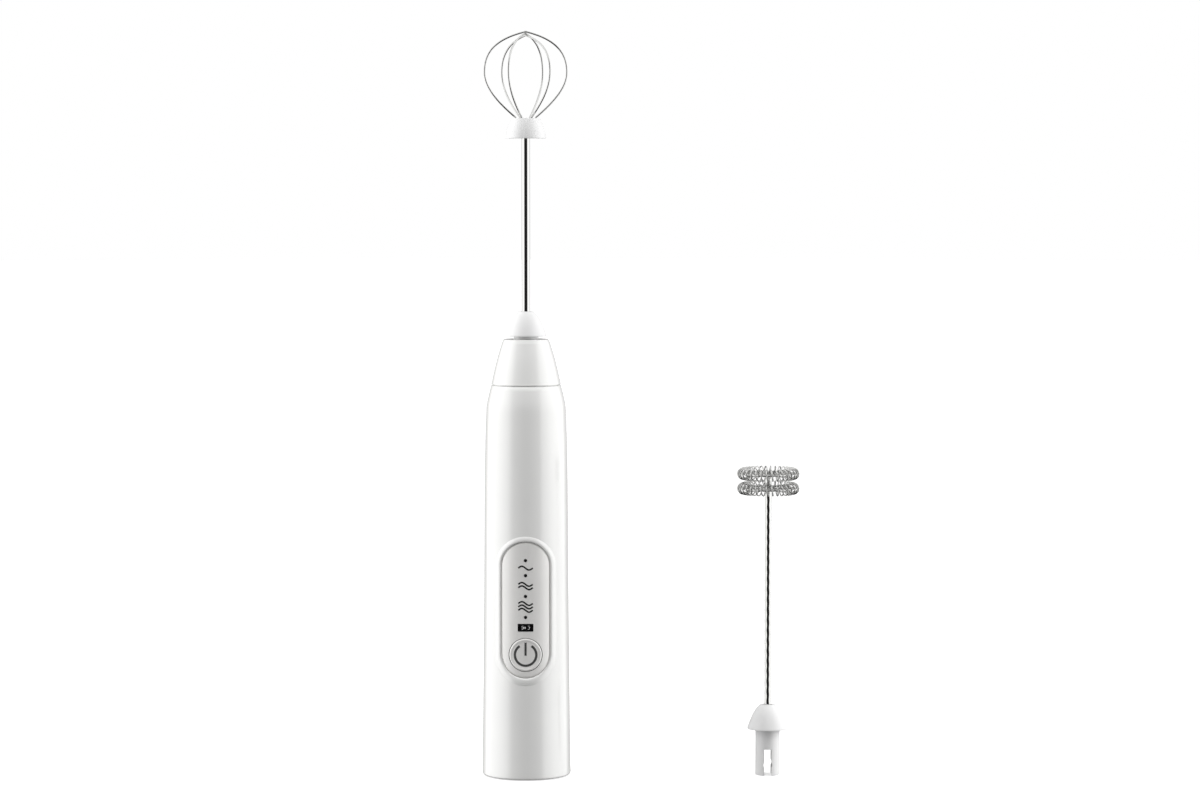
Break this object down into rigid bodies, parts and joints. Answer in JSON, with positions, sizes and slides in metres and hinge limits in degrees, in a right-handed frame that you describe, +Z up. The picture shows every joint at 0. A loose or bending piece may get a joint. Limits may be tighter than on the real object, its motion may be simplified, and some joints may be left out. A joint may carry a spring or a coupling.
{
  "type": "milk frother",
  "caption": "Slim rechargeable hand-held milk frother with a front control panel, a plug-in balloon whisk and a spare sprung frothing head standing beside it.",
  "frame": {"origin": "centre of the frother's foot, on the surface it stands on", "axes": "+Z up along the handle and the whisk, -Y towards the front with the control panel, +X towards the spare head"},
  "size_m": [0.1076, 0.03, 0.2521],
  "materials": {
    "pearl_abs": "glossy pearl white moulded ABS",
    "hub_abs": "semi-gloss white moulded ABS",
    "silver_panel": "satin silver paint",
    "black_gloss": "black gloss lens",
    "polished_steel": "polished stainless steel",
    "motor_steel": "zinc-plated steel",
    "magnet": "dark sintered ferrite",
    "copper": "enamelled copper",
    "bronze": "sintered bronze",
    "board": "green solder mask",
    "inner_abs": "dark moulded ABS",
    "cell_wrap": "blue shrink sleeve on a steel can",
    "nickel": "nickel plate",
    "cover_rubber": "white silicone rubber",
    "black_rubber": "black rubber",
    "carbon": "pressed carbon"
  },
  "bodies": {
    "handle": {"housing": "pearl_abs", "nose_cone": "pearl_abs", "base_cap": "pearl_abs", "control_panel": "silver_panel", "display_window": "black_gloss", "light_guide": "black_gloss", "motor_can": "motor_steel", "board_screw_lower": "motor_steel", "board_screw_upper": "motor_steel", "charge_screw_left": "motor_steel", "charge_screw_right": "motor_steel", "motor_screw_front": "motor_steel", "motor_screw_rear": "motor_steel", "magnet_left": "magnet", "magnet_right": "magnet", "charge_lead_right": "copper", "motor_lead_right": "copper", "bush_front": "bronze", "bush_rear": "bronze", "control_board": "board", "charge_board": "board", "chassis": "inner_abs", "tact_switch": "inner_abs", "motor_end_cap": "inner_abs", "motor_mount": "inner_abs", "battery_cell": "cell_wrap", "contact_positive": "nickel", "contact_negative": "nickel", "usb_socket": "nickel", "spindle_seal": "black_rubber", "charge_lead_left": "black_rubber", "motor_lead_left": "black_rubber", "brush_front": "carbon", "brush_rear": "carbon"},
    "button": {"power_button": "silver_panel", "switch_plunger": "inner_abs"},
    "port_cover": {"port_cover": "cover_rubber"},
    "drive": {"motor_shaft": "polished_steel", "armature_core": "motor_steel", "winding_1": "copper", "winding_2": "copper", "winding_3": "copper", "commutator": "copper", "drive_spindle": "polished_steel", "cross_pin": "polished_steel"},
    "whisk": {"whisk_hub": "hub_abs", "whisk_shaft": "polished_steel", "whisk_head_hub": "hub_abs", "whisk_loop_outer": "polished_steel", "whisk_loop_middle": "polished_steel", "whisk_loop_inner": "polished_steel"},
    "froth_head": {"froth_hub": "hub_abs", "froth_shaft": "polished_steel", "froth_hoop_lower": "polished_steel", "froth_hoop_upper": "polished_steel", "froth_coil_lower": "polished_steel", "froth_coil_upper": "polished_steel"}
  },
  "joints": [
    {"name": "spindle_spin", "type": "hinge", "parent": "handle", "child": "drive", "pos_m": [0, 0, 0.1374], "axis": [0, 0, 1], "continuous": true},
    {"name": "whisk_pull_off", "type": "slide", "parent": "drive", "child": "whisk", "axis": [0, 0, 1], "range_m": [0, 0.03]},
    {"name": "power_button_press", "type": "slide", "parent": "handle", "child": "button", "axis": [0, 1, 0], "range_m": [0, 0.0004], "stiffness_N_per_m": 800},
    {"name": "port_cover_hinge", "type": "hinge", "parent": "handle", "child": "port_cover", "pos_m": [0, 0.01489, 0.0095], "axis": [-1, 0, 0], "range_deg": [0, 100]},
    {"name": "froth_head_lift", "type": "slide", "parent": "handle", "child": "froth_head", "axis": [0, 0, 1], "range_m": [0, 0.15]}
  ]
}
